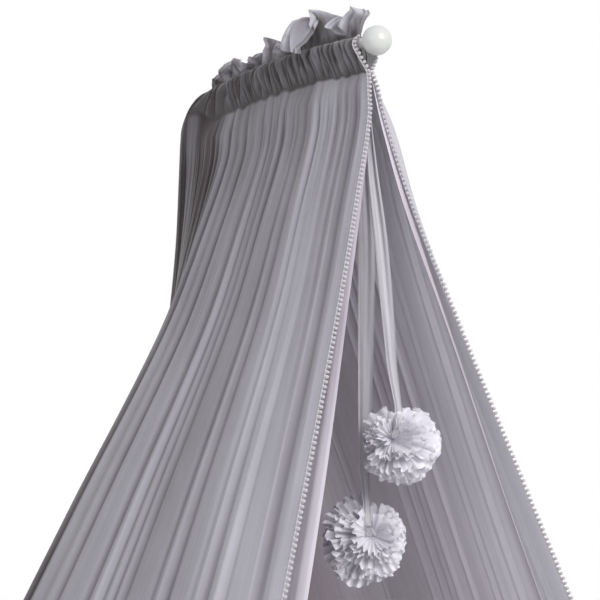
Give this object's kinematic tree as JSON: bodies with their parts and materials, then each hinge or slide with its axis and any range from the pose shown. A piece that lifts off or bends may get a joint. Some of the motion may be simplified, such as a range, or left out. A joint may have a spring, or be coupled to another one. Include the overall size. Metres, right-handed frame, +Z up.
{
  "type": "mosquito net canopy on a bent drape rod",
  "caption": "Sheer net bed canopy gathered on a bent drape rod, with a ruffled heading, an open front edged in bead trim, an inner layer and pompoms on ribbons.",
  "frame": {"origin": "centre of the bracket plate's front face, which bears on the back of a bed's end board", "axes": "+Z up along the post, -Y out of the plate's front face and towards the open front of the canopy, +X to the right as the open front is faced from behind the plate; the rod lies in the plane x = 0"},
  "size_m": [1.381, 0.911, 1.6625],
  "materials": {
    "net": "sheer even net, matt, mauve grey",
    "inner_net": "sheer even net, matt, lilac grey",
    "trim": "tiny wound yarn beads on a narrow woven tape",
    "ribbon": "sheer ribbon, matt",
    "tulle": "soft crumpled tulle, matt",
    "white_paint": "satin white paint",
    "gloss_white": "gloss white"
  },
  "bodies": {
    "root": {"net_canopy": "net", "inner_layer": "inner_net", "trim_near": "trim", "trim_far": "trim", "ribbon_lower": "ribbon", "ribbon_upper": "ribbon", "pompom_lower": "tulle", "pompom_upper": "tulle", "rod": "white_paint", "ball": "gloss_white", "bracket_plate": "white_paint"}
  },
  "joints": []
}
